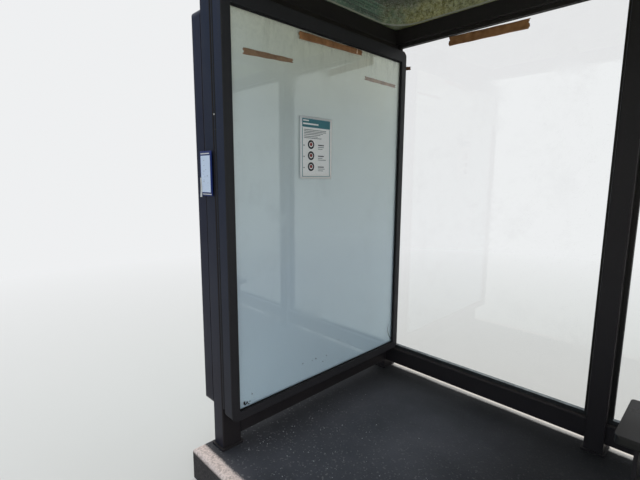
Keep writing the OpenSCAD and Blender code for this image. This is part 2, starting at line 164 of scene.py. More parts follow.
front_strength, back_strength = 0.48, 0.98
front_tint, back_tint = (0.66, 0.82, 1.0, 1.0), (0.88, 0.94, 1.0, 1.0)
sky = bpy.data.worlds.new("sky")
bpy.context.scene.world = sky
sky.use_nodes = True
tree = sky.node_tree
daylight = tree.nodes["Background"]
direction = wire(tree, "ShaderNodeTexCoord").outputs["Generated"]
backwards = wire(tree, "ShaderNodeSeparateXYZ", {0: direction}).outputs[1]
give(
    daylight,
    Strength=between(tree, backwards, -1.0, 0.0, front_strength, back_strength),
    Color=mixed(tree, between(tree, backwards, 0.0, -0.6), back_tint, front_tint),
)
behind = wire(tree, "ShaderNodeBackground", {"Color": backdrop, "Strength": 1.0})
both_skies = {0: seen_share(tree), 1: daylight.outputs[0], 2: behind.outputs[0]}
either = wire(tree, "ShaderNodeMixShader", both_skies)
tree.links.new(either.outputs[0], tree.nodes["World Output"].inputs["Surface"])

lamp_strength, lamp_softness, lamp_tint = 1.1, math.radians(7), (1.0, 0.96, 0.9)
tilt_back, tilt_left = math.radians(-2.5), math.radians(-24)
lamp_data = bpy.data.lights.new("high_lamp", "SUN")
lamp_data.energy, lamp_data.angle, lamp_data.color = lamp_strength, lamp_softness, lamp_tint
lamp = bpy.data.objects.new("high_lamp", lamp_data)
lamp.rotation_euler = (tilt_back, tilt_left, 0.0)
bpy.context.scene.collection.objects.link(lamp)


# Floor slab: one precast concrete block that shows its fine stones. Its top is dark,
# partly with dirt and partly with painted shade under the roof. Along the open front a
# pale band is painted sunlight, and behind the back wall a nearly white band is too.
def object_place(tree, stretch=(1.0, 1.0, 1.0)):
    """The object's own coordinates in metres, stretched by a factor each way."""
    where = wire(tree, "ShaderNodeTexCoord").outputs["Object"]
    return wire(tree, "ShaderNodeMapping", {"Vector": where, "Scale": stretch}).outputs[0]


def noise(tree, place, scale, detail=3.0, rough=0.55):
    """Cloudy noise from 0 to 1 with that many lumps a metre."""
    sockets = {"Vector": place, "Scale": scale, "Detail": detail, "Roughness": rough}
    return wire(tree, "ShaderNodeTexNoise", sockets).outputs[0]


def bumped(tree, shader, height, depth, strength=1.0):
    """Bump on the shader from a height of 0 to 1, that many metres deep."""
    made = wire(tree, "ShaderNodeBump", {"Height": height, "Distance": depth, "Strength": strength})
    give(shader, Normal=made.outputs[0])


def dress(piece, finish, body=None, smooth=True):
    """Gives a piece its one finish, its smooth or flat shading, and the body that it goes with."""
    piece.data.materials.clear()
    piece.data.materials.append(finish)
    piece.data.polygons.foreach_set("use_smooth", np.full(len(piece.data.polygons), smooth))
    if body:
        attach(piece, body)
    return piece


def coat_nodes(names, finish):
    """Gives each of those CAD nodes its finish, with its flat faces kept flat."""
    for name in names:
        dress(cad[name], finish, smooth=False)


side_to_top = (0.128, 0.140)
shade_to_front_sun, shade_to_back_sun = (-0.708, -0.722), (0.640, 0.655)
concrete, tree, shader = surface_of("concrete_grime_and_painted_light")
place = object_place(tree)
x, y, z = wire(tree, "ShaderNodeSeparateXYZ", {0: place}).outputs
cloud = noise(tree, place, 2.2, 5.0)
grain = noise(tree, place, 190.0, 2.0, 0.7)
stones = wire(tree, "ShaderNodeTexVoronoi", {"Vector": place, "Scale": 150.0}).outputs["Color"]
stone_tone = wire(tree, "ShaderNodeSeparateColor", {0: stones}).outputs[0]
# The top's dark tone is partly dirt and partly painted shade under the roof.
grime_and_shade = mixed(tree, between(tree, cloud, 0.35, 0.7), linear(66, 66, 70), linear(85, 84, 89))
# It turns darker towards the back, the left end and the right: painted shade.
for across, light_end, dark_end, most, darker in (
    (y, 0.25, 0.66, 0.85, linear(41, 40, 39)),
    (x, -1.66, -1.86, 0.60, linear(34, 34, 36)),
    (x, -1.30, -0.80, 0.95, linear(24, 25, 29)),
):
    grime_and_shade = mixed(tree, between(tree, across, light_end, dark_end, 0.0, most), grime_and_shade, darker)
towards_front = between(tree, y, 0.30, -0.45, 0.12, 1.0)
sprinkled = maths(tree, "MULTIPLY", towards_front, between(tree, stone_tone, 0.90, 0.99, 0.0, 0.45))
grime_and_shade = mixed(tree, sprinkled, grime_and_shade, linear(140, 138, 136))
# The pale band along the open front is painted sunlight.
pale = mixed(tree, between(tree, stone_tone, 0.0, 1.0), linear(186, 168, 159), linear(238, 218, 208))
edge = maths(tree, "ADD", y, between(tree, cloud, 0.3, 0.7, -0.007, 0.007))
edge = maths(tree, "ADD", edge, between(tree, grain, 0.2, 0.8, -0.006, 0.006))
top = mixed(tree, between(tree, edge, *shade_to_front_sun), grime_and_shade, pale)
# The nearly white band behind the back wall is painted sunlight.
back_sun_tone = mixed(tree, 0.75, pale, linear(255, 247, 234))
top = mixed(tree, between(tree, edge, *shade_to_back_sun), top, back_sun_tone)
# The slab's sides take darker tones than the top's pale bands: painted shade.
side = mixed(tree, between(tree, stone_tone, 0.2, 1.0), linear(38, 36, 38), linear(70, 65, 66))
side = mixed(tree, between(tree, cloud, 0.4, 0.8, 0.0, 0.6), side, linear(34, 32, 33))
give(
    shader,
    Base_Color=mixed(tree, between(tree, z, *side_to_top), side, top),
    Roughness=between(tree, cloud, 0.3, 0.8, 0.95, 0.72),
)
bumped(tree, shader, maths(tree, "ADD", maths(tree, "MULTIPLY", stone_tone, 0.6), grain), 0.0009)
coat_nodes(["floor_slab"], concrete)


# Chippings, crumbs and grit lie loose on the slab: small white and grey grains
# with a few flat faces, thickest near the open front by the case.
def closed_shells(name, grids):
    """One mesh of like closed shells, grids of shape (count, nu, nv, 3). Each shell is a stack of nu rings
    of nv points, joined ring to ring, and its first and last ring are each filled with one face."""
    count, nu, nv = grids.shape[:3]
    ring, here = np.arange(nu - 1)[:, None] * nv, np.arange(nv)[None, :]
    beside = (here + 1) % nv
    four = [ring + here, ring + beside, ring + nv + beside, ring + nv + here]
    faces = np.stack(four, -1).reshape(-1, 4)
    first = (np.arange(count) * nu * nv)[:, None]
    every = (faces + first[..., None]).reshape(-1, 4).tolist()
    every += (np.arange(nv)[::-1] + first).tolist()
    every += (np.arange(nv) + (nu - 1) * nv + first).tolist()
    return new_piece(name, grids, every)


def mottled(name, scale, detail, edges, first, second, rough=None, **sockets):
    """A finish of two tones in cloudy patches, that many a metre. The second tone takes over while the cloud
    goes from edges[0] to edges[1], and the roughness goes from rough[0] to rough[1] with it."""
    finish, tree, shader = surface_of(name, **sockets)
    patches = noise(tree, object_place(tree), scale, detail)
    give(shader, Base_Color=mixed(tree, between(tree, patches, *edges), first, second))
    if rough:
        give(shader, Roughness=between(tree, patches, 0.3, 0.7, *rough))
    return finish


grains, corners, heights = 900, 6, 4
grit_left, grit_long, grit_front, grit_deep = -1.78, 3.4, -0.68, 1.0
smallest, size_range, uneven, slim, squat = 0.0009, 0.0022, 0.35, 0.8, 0.55
front_crowding, case_crowding, mostly_small, end_narrow = (1.2, 2.6), 1.9, 3, 0.3
rng = np.random.default_rng(11)
spread = rng.beta(*front_crowding, grains)
grit_x = grit_left + grit_long * rng.random(grains) ** case_crowding
grit_y = grit_front + grit_deep * spread
size = smallest + size_range * rng.random(grains) ** mostly_small
turn = np.linspace(0, 2 * np.pi, corners, endpoint=False)[None, None, :]
rise = np.linspace(0, np.pi, heights)[None, :, None]
lump = 1 + uneven * (rng.random((grains, 1, corners)) - 0.5)
girth = size[:, None, None] * lump * np.sin(rise)
slab_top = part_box("floor_slab")[1].z
grit = np.stack(
    [
        grit_x[:, None, None] + girth * np.cos(turn),
        grit_y[:, None, None] + girth * np.sin(turn) * slim,
        slab_top + size[:, None, None] * squat * (1 - np.cos(rise)) + 0 * turn,
    ],
    -1,
)
middle = np.stack([grit_x, grit_y], -1)[:, None]
for end, next_ring in ((0, 1), (-1, -2)):
    grit[:, end, :, :2] = grit[:, next_ring, :, :2] * end_narrow + middle * (1 - end_narrow)
chippings = mottled(
    "chippings", 35.0, 1.0, (0.4, 0.6), linear(96, 96, 96), linear(214, 214, 212), Roughness=0.8
)
dress(closed_shells("loose_grit", grit), chippings, "shelter", smooth=False)


# Steel frame: posts, roof ring, crossbars and bottom rails are welded steel tube,
# galvanized and powder coated in anthracite. The coat has dulled, with dust low down.
def toned(colour, factor):
    """A linear colour made lighter or darker by that factor."""
    return tuple(factor * channel for channel in colour[:3]) + (1.0,)


def anthracite(
    name, base, dusty, rough, dust_from=0.15, dust_to=1.5, up_dust_and_light=(62, 58, 56), inward_lit_tone=(53, 50, 46), inside=1.0
):
    """Powder coat: fine orange peel, cloudy fading, rain streaks down the uprights, dust that thins out
    upwards, and a pale layer on faces that look up, which is dust and painted light from above. Faces that
    look away from the shelter's middle, where normal times level position is over 0, keep the base tone.
    The others take a lighter neutral tone, painted light, and are paler still by the factor inside."""
    coat, tree, shader = surface_of(name, Specular_IOR_Level=0.09)
    place = object_place(tree)
    z = wire(tree, "ShaderNodeSeparateXYZ", {0: place}).outputs[2]
    normal = wire(tree, "ShaderNodeNewGeometry").outputs["Normal"]
    looks_up = wire(tree, "ShaderNodeSeparateXYZ", {0: normal}).outputs[2]
    level_place = object_place(tree, (1.0, 1.0, 0.0))
    outwards = wire(tree, "ShaderNodeVectorMath", {0: normal, 1: level_place}, operation="DOT_PRODUCT")
    inward_share = between(tree, outwards.outputs["Value"], 0.4, 0.1)
    cloud = noise(tree, place, 3.5, 4.0)
    streak = noise(tree, object_place(tree, (38.0, 38.0, 1.2)), 1.0, 3.0)
    speck = noise(tree, place, 260.0, 2.0)
    worn_and_lit = mixed(tree, between(tree, cloud, 0.3, 0.75, 0.0, 0.6), base, toned(base, 1.2))
    # Faces turned towards the shelter's middle take a lighter neutral tone: painted light in the roof's
    # shade.
    worn_and_lit = mixed(tree, maths(tree, "MULTIPLY", inward_share, 0.9), worn_and_lit, linear(*inward_lit_tone))
    worn_and_lit = mixed(tree, between(tree, streak, 0.5, 0.75, 0.0, 0.3), worn_and_lit, dusty)
    low = between(tree, z, dust_to, dust_from, 0.0, 0.85)
    worn_and_lit = mixed(tree, maths(tree, "MULTIPLY", low, between(tree, cloud, 0.2, 0.7, 0.6, 1.0)), worn_and_lit, dusty)
    worn_and_lit = mixed(tree, between(tree, speck, 0.68, 0.74, 0.0, 0.3), worn_and_lit, linear(96, 96, 95))
    # Faces that look up get a pale layer: dust and painted light from above.
    patches = between(tree, cloud, 0.25, 0.6, 0.55, 0.85)
    laid = maths(tree, "MULTIPLY", between(tree, looks_up, 0.55, 0.95), patches)
    worn_and_lit = mixed(tree, laid, worn_and_lit, linear(*up_dust_and_light))
    # The factor inside lightens those faces more: painted light.
    if inside != 1.0:
        worn_and_lit = mixed(tree, inward_share, worn_and_lit, (inside, inside, inside, 1.0), "MULTIPLY")
    give(shader, Base_Color=worn_and_lit, Roughness=between(tree, cloud, 0.3, 0.7, rough - 0.08, rough + 0.12))
    bumped(tree, shader, noise(tree, place, 700.0, 1.0), 0.00012, 0.6)
    return coat


# The bluish base is the coat's own tone and partly painted sky light on the outward faces.
tube_coat = anthracite("anthracite_coat", linear(12, 31, 54), linear(58, 53, 54), 0.42, 0.15, 2.1)
tube_kinds = ("post_", "ring_tube", "roof_crossbar", "back_rail", "end_rail")
coat_nodes([name for name in cad if name.startswith(tube_kinds)], tube_coat)

# Roof domes: three blown pillow domes of translucent plastic. Green algae and leaf
# dirt have settled on them, so from below they glow mottled olive. Towards the left
# end they turn teal and towards the back ochre; from above they look washed grey-green.
teal_from, teal_full = -1.55, -1.80
ochre_from, ochre_full = 0.40, 0.56
crown_from, crown_full = 2.412, 2.450
rim_highlight_top, rim_highlight_foot = (2.333, 2.329), (2.3215, 2.3225)
algae, tree, shader = surface_of("algae_dome")
place = object_place(tree)
x, y, z = wire(tree, "ShaderNodeSeparateXYZ", {0: place}).outputs
normal = wire(tree, "ShaderNodeNewGeometry").outputs["Normal"]
looks_up = wire(tree, "ShaderNodeSeparateXYZ", {0: normal}).outputs[2]
cloud = noise(tree, place, 2.6, 6.0, 0.62)
fleck = noise(tree, place, 42.0, 5.0, 0.75)
dots = noise(tree, place, 130.0, 3.0, 0.7)
drawn = noise(tree, object_place(tree, (70.0, 2.5, 90.0)), 1.0, 4.0)
olive = mixed(tree, between(tree, fleck, 0.38, 0.62), linear(84, 92, 58), linear(168, 176, 122))
olive = mixed(tree, between(tree, cloud, 0.42, 0.62, 0.0, 0.5), olive, linear(128, 138, 104))
teal = mixed(tree, between(tree, drawn, 0.38, 0.62), linear(33, 63, 47), linear(95, 142, 114))
olive = mixed(tree, between(tree, x, teal_from, teal_full, 0.0, 0.9), olive, teal)
ochre = mixed(tree, between(tree, fleck, 0.38, 0.60), linear(136, 128, 58), linear(212, 208, 128))
at_back = between(tree, y, ochre_from, ochre_full)
patch = maths(tree, "MULTIPLY", at_back, between(tree, cloud, 0.40, 0.56, 0.35, 0.95))
olive = mixed(tree, patch, olive, ochre)
grey = mixed(tree, between(tree, fleck, 0.36, 0.64), linear(74, 80, 60), linear(112, 116, 92))
height = maths(tree, "ADD", z, between(tree, fleck, 0.3, 0.7, -0.012, 0.012))
olive = mixed(tree, between(tree, height, crown_from, crown_full, 0.0, 0.85), olive, grey)
olive = mixed(tree, between(tree, dots, 0.56, 0.66, 0.0, 0.75), olive, linear(62, 64, 44))
olive = mixed(tree, between(tree, dots, 0.44, 0.36, 0.0, 0.55), olive, linear(190, 194, 164))
# A pale band at the flange's rim height: a painted highlight.
rim = maths(tree, "MULTIPLY", between(tree, z, *rim_highlight_top), between(tree, z, *rim_highlight_foot))
olive = mixed(tree, rim, olive, linear(170, 172, 152))
rained_on = between(tree, looks_up, -0.02, 0.40)
washed = maths(tree, "MULTIPLY", rained_on, between(tree, cloud, 0.30, 0.66, 0.40, 0.84))
olive = mixed(tree, washed, olive, linear(188, 192, 178))
give(
    shader,
    Base_Color=olive,
    Alpha=between(tree, fleck, 0.36, 0.62, 0.95, 0.78),
    Roughness=between(tree, looks_up, 0.0, 0.5, 0.6, 0.24),
)
bumped(tree, shader, fleck, 0.0002, 0.4)

dome_rise, dome_bow, shoulder, corner, shell = 0.200, 0.045, 0.150, 0.180, 0.004
shoulder_lift, shoulder_slope, sharp_over = 0.002, 0.6, math.radians(40)
side_blend, crown_blend = 0.05, 0.03
flange_wide, flange_thin, flange_thick, skirt_foot = 0.042, 0.015, 0.0045, 0.03
skin_rings, innermost, rim_crowding, side_points = 32, 0.015, 1.7, 33


def shoulder_line(t, half, radius, rise):
    """Height of a dome's side at t from the middle of a span of twice half: a short skirt, a quarter round,
    and inside that a slope which climbs out of the way of the crown."""
    inward = (half - radius - np.abs(t)) / radius
    round_part = np.sqrt(np.clip(1 - np.clip(-inward, 0, 1) ** 2, 0, 1))
    return rise + shoulder_lift + radius * (round_part - 1 + shoulder_slope * np.clip(inward, 0, None))


def soft_lower(a, b, blend):
    """The lower of two heights with a round instead of a crease: min(a, b) - blend h^2 / 4, where h is
    1 - |a - b| / blend, or 0 where that is less."""
    return np.minimum(a, b) - blend / 4 * np.clip(1 - np.abs(a - b) / blend, 0, 1) ** 2


def pillow_skin(edge, half, less):
    """One face of a dome, all its sizes less by the shell: rings P = m times the outline, which is a
    rectangle with round corners, at the height of the lower of both sides and of a sphere's crown."""
    half, rise, radius = half - less, dome_rise - less, shoulder - less
    core = np.clip(edge * half, corner - less - half, half - corner + less)
    away = edge * half - core
    outline = core + (corner - less) * away / np.linalg.norm(away, axis=-1, keepdims=True)
    share = 1 - (1 - np.linspace(innermost, 1, skin_rings)) ** rim_crowding
    spot = share[:, None, None] * outline
    x, y = spot[..., 0], spot[..., 1]
    crown_radius = (half[0] ** 2 + dome_bow**2) / (2 * dome_bow)
    crown = rise - crown_radius + np.sqrt(crown_radius**2 - x**2 - y**2)
    long_sides, short_sides = (shoulder_line(t, h, radius, rise) for t, h in ((x, half[0]), (y, half[1])))
    sides = soft_lower(long_sides, short_sides, side_blend)
    return np.concatenate([spot, soft_lower(sides, crown, crown_blend)[..., None]], -1)


def level_ring(xy, height):
    """A flat ring: those points (x, y), all at one height."""
    return np.concatenate([xy, np.full_like(xy[:, :1], height)], -1)[None]


def pillow(name, low, high, out_left, out_right, out_y):
    """A pillow dome on its flange, a closed shell of rings: over the skin, down the skirt, out over the
    flange to its straight rim, and back along the underside."""
    s = np.sin(np.pi / 2 * np.linspace(-1, 1, side_points))[:-1]
    one = np.ones_like(s)
    edge = np.concatenate([np.stack(q, -1) for q in ((-s, -one), (-one, s), (s, one), (one, -s))])
    half = np.array([(high.x - out_right - low.x - out_left) / 2, (high.y - low.y) / 2 - out_y])
    outer, inner = pillow_skin(edge, half, 0.0), pillow_skin(edge, half, shell)
    reach = np.stack([np.where(edge[:, 0] < 0, out_left, out_right), np.full_like(edge[:, 1], out_y)], -1)
    rim, foot, under = edge * (half + reach), outer[-1, :, :2], inner[-1, :, :2]
    rings = [outer, level_ring(foot, skirt_foot), level_ring(foot, flange_thick)]
    rings += [level_ring(rim, flange_thick), level_ring(rim, 0.0), level_ring(under, 0.0), inner[::-1]]
    middle = np.array([(low.x + out_left + high.x - out_right) / 2, (low.y + high.y) / 2, low.z])
    return closed_shells(name, (np.concatenate(rings) + middle)[None])


for name, left, right in (
    ("dome_left", flange_wide, flange_thin),
    ("dome_middle", flange_thin, flange_thin),
    ("dome_right", flange_thin, flange_wide),
):
    low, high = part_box(name)
    piece = pillow(name + "_shell", low, high, left, right, flange_wide)
    dress(piece, algae, "shelter")
    piece.data.set_sharp_from_angle(angle=sharp_over)
    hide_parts(name)


# Flat aluminium bars clamp each flange down. They are screwed through the flange into
# the ring about every quarter of a metre, with domed screw heads of zinc-plated steel.
def turned(centres, profile, around, axis="Z", flats=0):
    """Turned parts: P(k, i, j) = centre k + radius i (cos a j, sin a j) + height i along the axis. The
    profile is (radius, height) pairs; flats is the number of corners that the widest rings are cut to, or 0
    for round."""
    profile, centres = np.array(profile, float), np.array(centres, float)
    angle = np.linspace(0, 2 * np.pi, around, endpoint=False)
    radius = np.repeat(profile[:, :1], around, 1)
    if flats:
        cut = np.cos(np.pi / flats) / np.cos((angle + 1e-9) % (2 * np.pi / flats) - np.pi / flats)
        radius = np.minimum(radius, profile[:, 0].max() * cut[None])
    a, b, h = radius * np.cos(angle), radius * np.sin(angle), np.repeat(profile[:, 1:], around, 1)
    parts = {"Z": (a, b, h), "X": (h, a, b), "-Y": (a, -h, b)}[axis]
    return centres[:, None, None, :] + np.stack(parts, -1)[None]


zinc_tones = linear(96, 96, 95), linear(140, 139, 136)
bar_tones = linear(128, 130, 132), linear(92, 93, 90)
zinc = mottled("galvanized_zinc", 160.0, 2.0, (0.35, 0.7), *zinc_tones, (0.45, 0.65), Metallic=0.7)
bar_metal = mottled("mill_aluminium", 14.0, 4.0, (0.35, 0.7), *bar_tones, (0.38, 0.6), Metallic=0.85)
bars = ("dome_clamp_left", "dome_clamp_middle", "dome_clamp_right")
coat_nodes(bars, bar_metal)
bar_middle, row_end, column_end, row_screws, column_screws = 0.015, 0.06, 0.2, 6, 4
screws = []
for name in bars:
    low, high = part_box(name)
    rows = np.linspace(low.x + row_end, high.x - row_end, row_screws)
    screws += [(sx, sy, high.z) for sx in rows for sy in (low.y + bar_middle, high.y - bar_middle)]
    if name != "dome_clamp_middle":
        outer_x = low.x + bar_middle if name == "dome_clamp_left" else high.x - bar_middle
        column = np.linspace(low.y + column_end, high.y - column_end, column_screws)
        screws += [(outer_x, sy, high.z) for sy in column]
button = [(0.0004, 0.0), (0.0065, 0.0), (0.0063, 0.0018)]
button += [(0.0052, 0.0032), (0.0034, 0.0040), (0.0004, 0.0043)]
dress(closed_shells("clamp_screws", turned(screws, button, 14)), zinc, "shelter")


# Glazed walls: panes of clear 8 mm safety glass stand in the grooves of aluminium
# beads that are screwed to posts, ring and rail. Dust films the glass.
def clear_pane(name, dirt_share, dirt_tone):
    """Thin glass: it lets light through, mirrors more towards grazing view by facing to the fourth power, and
    carries a faint film of dust with dried drops."""
    pane, tree, shader = surface_of(name, Metallic=1.0, Roughness=0.02)
    facing = wire(tree, "ShaderNodeLayerWeight", {"Blend": 0.5}).outputs["Facing"]
    mirror = maths(tree, "ADD", maths(tree, "MULTIPLY", maths(tree, "POWER", facing, 4.0), 0.75), 0.05)
    place = object_place(tree)
    film = between(tree, noise(tree, place, 5.0, 6.0, 0.7), 0.5, 0.8, 0.0, dirt_share)
    drops = between(tree, noise(tree, place, 210.0, 1.0), 0.70, 0.76, 0.0, dirt_share * 3)
    dirt = maths(tree, "ADD", film, drops)
    dirty = maths(tree, "DIVIDE", dirt, maths(tree, "ADD", dirt, mirror))
    give(
        shader,
        Alpha=maths(tree, "ADD", mirror, dirt),
        Base_Color=mixed(tree, dirty, (0.86, 0.94, 0.91, 1), dirt_tone),
        Metallic=between(tree, dirty, 0.0, 1.0, 1.0, 0.0),
        Roughness=between(tree, dirty, 0.0, 0.5, 0.02, 0.8),
    )
    return pane


wall_panes = ("back_glass_left", "back_glass_middle", "back_glass_right", "end_glass_right")
wall_beads = ("back_beads_left", "back_beads_middle", "back_beads_right", "end_beads_right")
coat_nodes(wall_panes, clear_pane("wall_glass", 0.012, linear(150, 148, 138)))
# The beads' faces that look up take a pale grey layer: dust and a painted highlight of their lit tops.
bead_coat = anthracite("bead_coat", linear(34, 36, 41), linear(70, 70, 70), 0.38, 0.3, 0.34, (132, 134, 136))
coat_nodes(wall_beads, bead_coat)

# A pale fillet lies on the lower beads, against the inner face
# of the glass: at each place along the wall a triangle of its own height. It is
# settled dust and a painted highlight of the bead tops catching light.
bead_tall, bead_lip = 0.018, 0.008
fillet_tall, slow_waves, quick_waves = 0.0062, 0.0010, 0.0006
length_share = np.linspace(0, 1, 61)
fillets = []
for name in wall_beads:
    low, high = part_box(name)
    runs_along = 0 if high.x - low.x > high.y - low.y else 1
    along = low[runs_along] + bead_tall + (high[runs_along] - low[runs_along] - 2 * bead_tall) * length_share
    tall = fillet_tall + slow_waves * np.sin(23 * along) + quick_waves * np.sin(61 * along + 1)
    ring = np.empty((len(along), 3, 3))
    ring[..., runs_along] = along[:, None]
    ring[..., 1 - runs_along] = low[1 - runs_along] + np.array([0.0, bead_lip, bead_lip])
    ring[..., 2] = low.z + bead_tall + tall[:, None] * np.array([0.0, 0.0, 1.0])
    fillets.append(ring if runs_along == 0 else ring[:, ::-1])
dust_and_highlight = mottled(
    "dust_and_highlight", 28.0, 4.0, (0.35, 0.65), linear(158, 158, 156), linear(206, 205, 200), Roughness=0.9
)
dust = closed_shells("lower_bead_dust_and_highlight", np.stack(fillets))
dress(dust, dust_and_highlight, "shelter", smooth=False)

# Poster case: a sheet-metal lamp box between the left posts, with a fixed outer half
# and an inner door on a long hinge, both of coated aluminium with soft edges. In each
# a black gasket holds the pane, and a white sheet lies behind it.
# The door's coat makes inward faces paler by the factor inside: painted light. The outer half's coat has a
# darker base: painted shade.
inner_lit_tones = {"up_dust_and_light": (44, 43, 44), "inward_lit_tone": (47, 46, 44), "inside": 1.5}
case_coat = anthracite("case_coat", linear(20, 34, 56), linear(50, 47, 48), 0.36, 0.3, 1.8, **inner_lit_tones)
outer_coat_painted_shade = anthracite("outer_coat_painted_shade", linear(6, 27, 54), linear(48, 43, 45), 0.42, 0.3, 2.1, (44, 43, 44))
dark_coat = anthracite("dark_coat", linear(22, 23, 25), linear(36, 35, 36), 0.6)
coat_nodes(["door_frame"], case_coat)
coat_nodes(["outer_frame"], outer_coat_painted_shade)
coat_nodes(["lamp_box", "case_collar"], dark_coat)
coat_nodes(["hinge_fixed_leaf", "door_hinge_leaf"], case_coat)
coat_nodes(["hinge_pin"], zinc)
gasket = mottled(
    "black_gasket", 45.0, 4.0, (0.45, 0.75), linear(12, 14, 16), linear(30, 31, 32), Roughness=0.7
)
coat_nodes(["door_seal", "outer_seal"], gasket)
case_glass = clear_pane("case_glass", 0.012, linear(176, 180, 172))
coat_nodes(["door_window", "outer_window"], case_glass)

opal, tree, shader = surface_of("opal_sheet", Roughness=0.5)
place = object_place(tree)
z = wire(tree, "ShaderNodeSeparateXYZ", {0: place}).outputs[2]
cloud = noise(tree, object_place(tree, (1.0, 1.0, 0.45)), 1.6, 3.0)
fine = noise(tree, place, 60.0, 3.0)
drip = noise(tree, object_place(tree, (34.0, 34.0, 7.0)), 1.0, 4.0)
white = mixed(tree, between(tree, z, 0.40, 0.95), linear(228, 246, 254), linear(216, 230, 238))
white = mixed(tree, between(tree, z, 0.95, 1.75), white, linear(216, 224, 216))
white = mixed(tree, between(tree, z, 1.75, 2.10), white, linear(254, 255, 232))
white = mixed(tree, between(tree, cloud, 0.35, 0.7, 0.0, 0.25), white, linear(226, 236, 240))
mould = maths(tree, "MULTIPLY", between(tree, z, 1.90, 2.08), between(tree, fine, 0.45, 0.62, 0.0, 0.08))
white = mixed(tree, mould, white, linear(96, 106, 78))
drip_marks = maths(tree, "MULTIPLY", between(tree, z, 1.93, 2.09), between(tree, drip, 0.52, 0.70, 0.0, 0.30))
white = mixed(tree, drip_marks, white, linear(150, 156, 132))
give(shader, Base_Color=white)
coat_nodes(["door_backing", "outer_backing"], opal)


# Lengths of brown parcel tape: one crisp on the pane at its top edge, two left on
# the white sheet behind it. Two more of the crisp kind are high on the back glass.
def tape_on_case(x, near, far, wide, seed, lift=0.0):
    """A strip from one middle point to the other, both (y, z): P(s, t) = near + s (far - near) + w t up,
    where the width w goes from wide[0] to wide[1] in a slow wave. Its torn ends are waved by a few sines and
    lifted from the surface by lift."""
    draw = np.random.default_rng(seed)
    s, t = np.meshgrid(np.linspace(0, 1, 60), np.linspace(-0.5, 0.5, 9), indexing="ij")
    from_middle = np.abs(s - 0.5) * 2
    tear = torn_deep * (np.sin(9 * t + draw.random() * 6) + 0.6 * np.sin(23 * t + draw.random() * 6))
    torn = np.where(s > 0.5, 1, -1) * np.clip(from_middle - torn_from, 0, 1) * 10
    along = s + torn * tear / max(far[0] - near[0], 0.02)
    y = near[0] + along * (far[0] - near[0])
    width = wide[0] + s * (wide[1] - wide[0]) + edge_wave * np.sin(19 * s + draw.random() * 6)
    z = near[1] + along * (far[1] - near[1]) + width * t
    curl = lift * np.clip(from_middle - curled_from, 0, 1) / 0.07 + ripple * (1 + np.sin(31 * s + 5 * t))
    return np.stack([x + tape_gap + curl, y, z], -1)


def film(name, grids, thick, finish, body, slot, smooth=True):
    """Thin film laid on a face: the grids are its front, and it gets its small thickness behind them."""
    piece = open_sheets(name, np.stack(grids))
    wall = piece.modifiers.new("film", "SOLIDIFY")
    wall.thickness, wall.offset = thick, -1.0
    return dress(piece, finish, body, smooth)


window_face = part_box("door_window")[1].x
sheet_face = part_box("door_backing")[1].x
tape_gap, tape_thick = 0.00025, 0.0002
torn_from, curled_from = 0.9, 0.93
torn_deep, edge_wave, ripple = 0.0035, 0.0012, 0.0001
parcel_tape, tree, shader = surface_of("parcel_tape", Roughness=0.28)
wrinkle = noise(tree, object_place(tree, (1.0, 60.0, 240.0)), 1.0, 3.0)
patch = noise(tree, object_place(tree), 22.0, 3.0)
brown = mixed(tree, between(tree, patch, 0.35, 0.7), linear(137, 95, 61), linear(178, 129, 88))
# The wrinkle lines are darker: painted shade in their creases.
brown = mixed(tree, between(tree, wrinkle, 0.5, 0.8, 0.0, 0.5), brown, linear(105, 71, 46))
give(shader, Base_Color=brown)
bumped(tree, shader, wrinkle, 0.0003)
old_tape = mottled(
    "faded_tape", 30.0, 4.0, (0.3, 0.7), linear(136, 100, 74), linear(172, 136, 106), Roughness=0.6
)
pane_strip = tape_on_case(window_face, (-0.257, 2.084), (0.193, 2.0945), (0.036, 0.027), 3, 0.001)
front_strip = tape_on_case(sheet_face, (-0.561, 1.952), (-0.290, 1.963), (0.027, 0.019), 4)
back_strip = tape_on_case(sheet_face, (0.231, 1.9745), (0.511, 1.9727), (0.020, 0.017), 5)
film("tape_pane_top", [pane_strip], tape_thick, parcel_tape, "case_door", "opal_sheet")
film("tape_sheet_front", [front_strip], tape_thick, old_tape, "case_door", "opal_sheet")
film("tape_sheet_back", [back_strip], tape_thick, old_tape, "case_door", "opal_sheet")

# Near its end the pane's tape is creased: a narrow band up
# the tape, arched from side to side. Its pale colour is a painted highlight, and its metal gloss mirrors real
# light.
crease_start, crease_wide, crease_lean = 0.1485, 0.008, 0.002
crease_foot, crease_tall, crease_gap, crease_arch = 2.0835, 0.0225, 0.0006, 0.0012
tones = linear(246, 214, 184), linear(255, 232, 206)
shine = mottled("shining_crease", 160.0, 2.0, (0.35, 0.65), *tones, Metallic=0.8, Roughness=0.3)
s, t = np.meshgrid(np.linspace(0, 1, 7), np.linspace(0, 1, 5), indexing="ij")
crease = np.stack(
    [
        window_face + crease_gap + crease_arch * np.sin(np.pi * s),
        crease_start + crease_wide * s + crease_lean * t,
        crease_foot + crease_tall * t,
    ],
    -1,
)
film("tape_crease", [crease], tape_thick, shine, "case_door", "opal_sheet")


# A slim printed notice is stuck on the pane under the tape: a laminated sheet
# with a coloured head, a few printed lines and three round pictures.
def plate_grid(x, low, high, count=5):
    """A flat rectangle in the plane x: P(s, t) = (x, low y + s wide, low z + t tall)."""
    s, t = np.meshgrid(np.linspace(0, 1, count), np.linspace(0, 1, count), indexing="ij")
    return np.stack([0 * s + x, low[0] + s * (high[0] - low[0]), low[1] + t * (high[1] - low[1])], -1)


